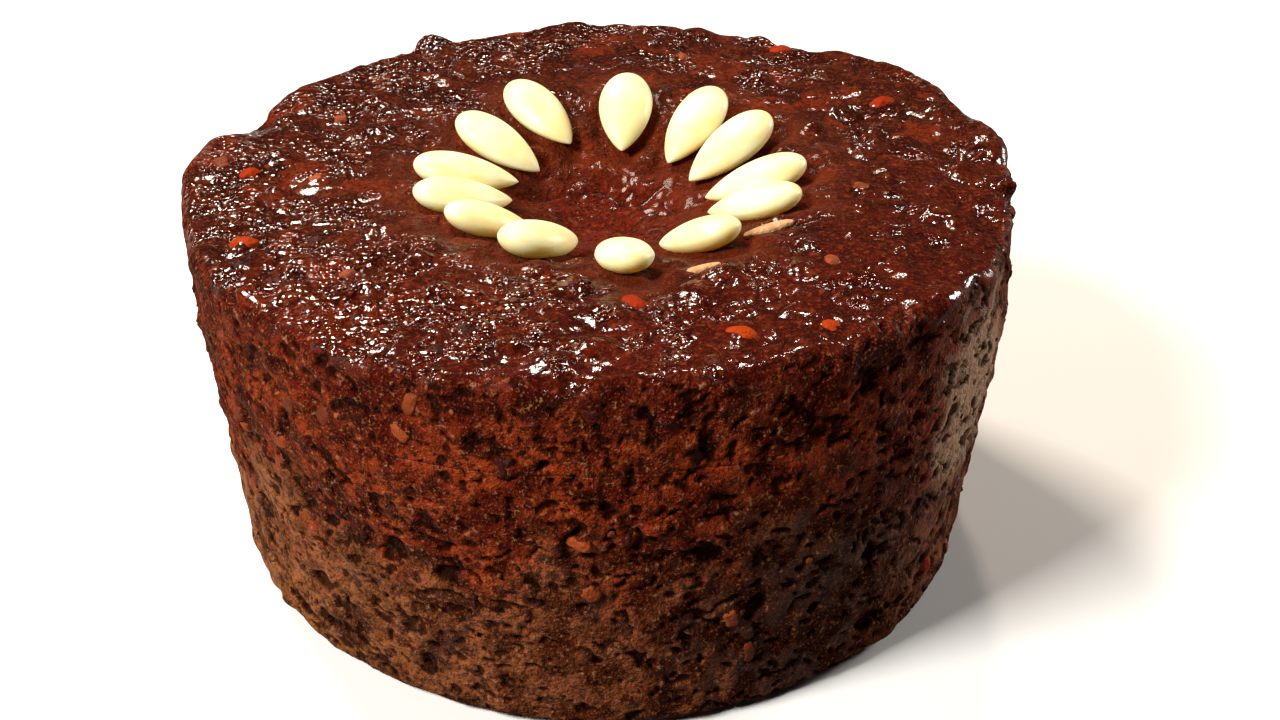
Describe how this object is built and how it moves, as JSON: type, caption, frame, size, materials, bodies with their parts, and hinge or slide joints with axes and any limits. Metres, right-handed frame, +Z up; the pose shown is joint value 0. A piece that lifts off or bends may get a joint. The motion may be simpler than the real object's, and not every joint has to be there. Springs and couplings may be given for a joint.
{
  "type": "fruit cake",
  "caption": "Round uncut dark fruit cake, glossy on top and matt down its side, with a sunken middle where blanched almonds lie in a ring like petals.",
  "frame": {"origin": "middle of the flat base that the cake stands on", "axes": "+Z up out of the top of the cake, -Y towards the side it was seen from, +X to that viewer's right"},
  "size_m": [0.1832, 0.1812, 0.0924],
  "materials": {
    "cake_crust": "dark baked crumb, matt down the side and glossy with syrup on top",
    "almond": "smooth blanched nut, satin"
  },
  "bodies": {
    "root": {"cake": "cake_crust", "almond_01": "almond", "almond_02": "almond", "almond_03": "almond", "almond_04": "almond", "almond_05": "almond", "almond_06": "almond", "almond_07": "almond", "almond_08": "almond", "almond_09": "almond", "almond_10": "almond", "almond_11": "almond", "almond_12": "almond", "almond_13": "almond"}
  },
  "joints": []
}
